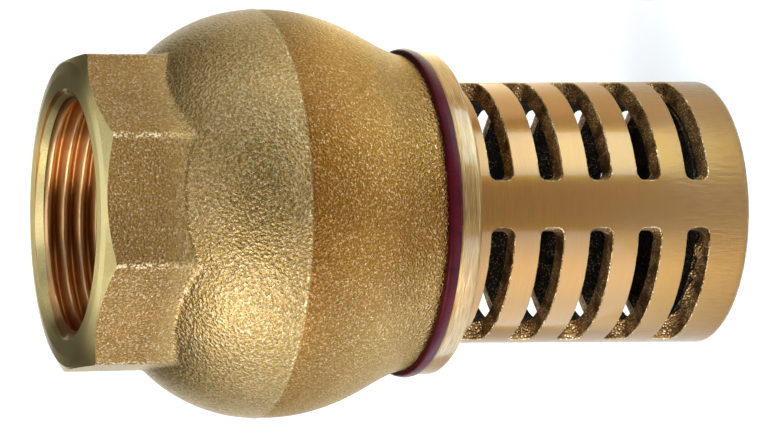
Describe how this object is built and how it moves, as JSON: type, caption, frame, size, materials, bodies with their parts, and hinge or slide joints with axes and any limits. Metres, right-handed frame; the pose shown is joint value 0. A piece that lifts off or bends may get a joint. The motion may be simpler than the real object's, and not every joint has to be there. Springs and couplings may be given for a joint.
{
  "type": "foot valve",
  "caption": "Brass spring-loaded foot valve with an octagonal threaded pipe port, a round cast body and a slotted cylindrical strainer.",
  "frame": {"origin": "centre of the strainer's closed end, on its flat face", "axes": "+Z along the valve's axis, from the strainer's closed end towards the threaded pipe port; +X and -Y face flats of the octagon"},
  "size_m": [0.0553, 0.0552, 0.0908],
  "materials": {
    "cast_brass": "satin",
    "turned_brass": "satin",
    "poppet_brass": "satin",
    "stainless": "satin",
    "red_gasket": "gloss",
    "black_rubber": "matte",
    "white_plastic": "matte"
  },
  "bodies": {
    "housing": {"body": "cast_brass", "strainer": "turned_brass", "body_gasket": "red_gasket", "guide_spider": "cast_brass", "guide_bush": "white_plastic", "poppet_spring": "stainless"},
    "poppet": {"poppet_disc": "poppet_brass", "poppet_stem": "stainless", "seat_seal": "black_rubber", "seal_retainer": "poppet_brass", "lock_washer": "stainless", "retainer_nut": "stainless"}
  },
  "joints": [
    {"name": "poppet_lift", "type": "slide", "parent": "housing", "child": "poppet", "axis": [0, 0, 1], "range_m": [0, 0.0068], "stiffness_N_per_m": 150, "springref_m": -0.0073, "deforming": ["poppet_spring"]}
  ]
}
